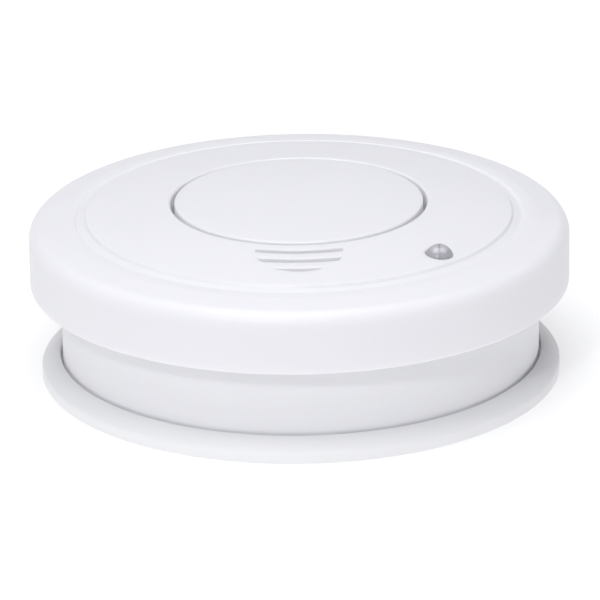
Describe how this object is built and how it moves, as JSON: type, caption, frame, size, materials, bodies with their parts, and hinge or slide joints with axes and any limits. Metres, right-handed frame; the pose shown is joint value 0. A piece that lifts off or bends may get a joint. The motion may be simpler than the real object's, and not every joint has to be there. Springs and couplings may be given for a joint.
{
  "type": "smoke detector",
  "caption": "Round ceiling smoke alarm: domed cover with a central test button, sound slots and clear indicator, on a recessed drum that twists onto a dished mounting plate.",
  "frame": {"origin": "centre of the mounting plate's ceiling face, which is the lowest face of the part as stored", "axes": "+Z from the ceiling face into the room, through the middle of the button; the sound slots face -Y and the indicator lies towards +X -Y"},
  "size_m": [0.107, 0.107, 0.0362],
  "materials": {
    "cover_plastic": "white ABS with a fine satin texture",
    "button_plastic": "white ABS, satin, a little smoother than the cover",
    "housing_plastic": "white ABS, satin",
    "plate_plastic": "white ABS, satin",
    "clear_acrylic": "clear moulded acrylic",
    "board_laminate": "green solder resist on glass-fibre laminate",
    "black_moulding": "matt black moulding",
    "package_black": "black epoxy",
    "spring_steel": "bright drawn wire",
    "plated_steel": "zinc or nickel plated",
    "mesh_steel": "woven stainless mesh",
    "sounder_brass": "rolled brass",
    "piezo_ceramic": "silvered ceramic",
    "sleeve_blue": "shrunk sleeve",
    "chip_ceramic": "fired ceramic",
    "emitter_epoxy": "clear bluish epoxy",
    "receiver_epoxy": "dark infrared-pass epoxy",
    "battery_jacket": "printed steel jacket, blank",
    "cell_can": "bare plated cell cans, weighed as packed cells of about 2.7 g per cubic centimetre",
    "lever_red": "red moulding",
    "lead_red": "soft PVC",
    "lead_black": "soft PVC",
    "label_paper": "matt label, blank",
    "light_epoxy": "pale phosphor epoxy"
  },
  "bodies": {
    "plate": {"mounting_plate": "plate_plastic"},
    "head": {"back_housing": "housing_plastic", "front_cover": "cover_plastic", "button_spring": "spring_steel", "indicator_lens": "clear_acrylic", "housing_screws": "plated_steel", "board_screws": "plated_steel", "rating_label": "label_paper", "circuit_board": "board_laminate", "board_light": "light_epoxy", "test_switch_body": "black_moulding", "control_chip": "package_black", "chip_legs": "plated_steel", "capacitors": "sleeve_blue", "drive_coil": "black_moulding", "drive_coil_legs": "plated_steel", "surface_resistors": "package_black", "surface_capacitors": "chip_ceramic", "transistors": "package_black", "chamber_base": "black_moulding", "chamber_cap": "black_moulding", "insect_screen": "mesh_steel", "infrared_emitter": "emitter_epoxy", "emitter_legs": "plated_steel", "photodiode": "receiver_epoxy", "photodiode_legs": "plated_steel", "sounder_base": "housing_plastic", "sounder_disc": "sounder_brass", "sounder_ceramic": "piezo_ceramic", "sounder_contacts": "spring_steel", "sounder_horn": "housing_plastic", "battery": "battery_jacket", "battery_cells": "cell_can", "battery_end_plate": "black_moulding", "battery_positive_stud": "plated_steel", "battery_negative_socket": "plated_steel", "contact_block": "black_moulding", "snap_socket": "plated_steel", "snap_stud": "plated_steel", "battery_lead_red": "lead_red", "battery_lead_black": "lead_black", "lockout_lever": "lever_red", "lockout_pin": "plated_steel", "lockout_spring": "spring_steel"},
    "button": {"test_button": "button_plastic"},
    "plunger": {"test_switch_plunger": "black_moulding"}
  },
  "joints": [
    {"name": "head_twist", "type": "hinge", "parent": "plate", "child": "head", "pos_m": [0, 0, 0.0048], "axis": [0, 0, 1], "range_deg": [0, 15]},
    {"name": "button_press", "type": "slide", "parent": "head", "child": "button", "axis": [0, 0, -1], "range_m": [0, 0.0012], "stiffness_N_per_m": 2500, "springref_m": -0.0004, "deforming": ["button_spring"]},
    {"name": "switch_press", "type": "slide", "parent": "head", "child": "plunger", "axis": [0, 0, -1], "range_m": [0, 0.00025]}
  ],
  "couplings": [
    {"joint": "switch_press", "follows": "button_press", "ratio": 0.2083}
  ]
}
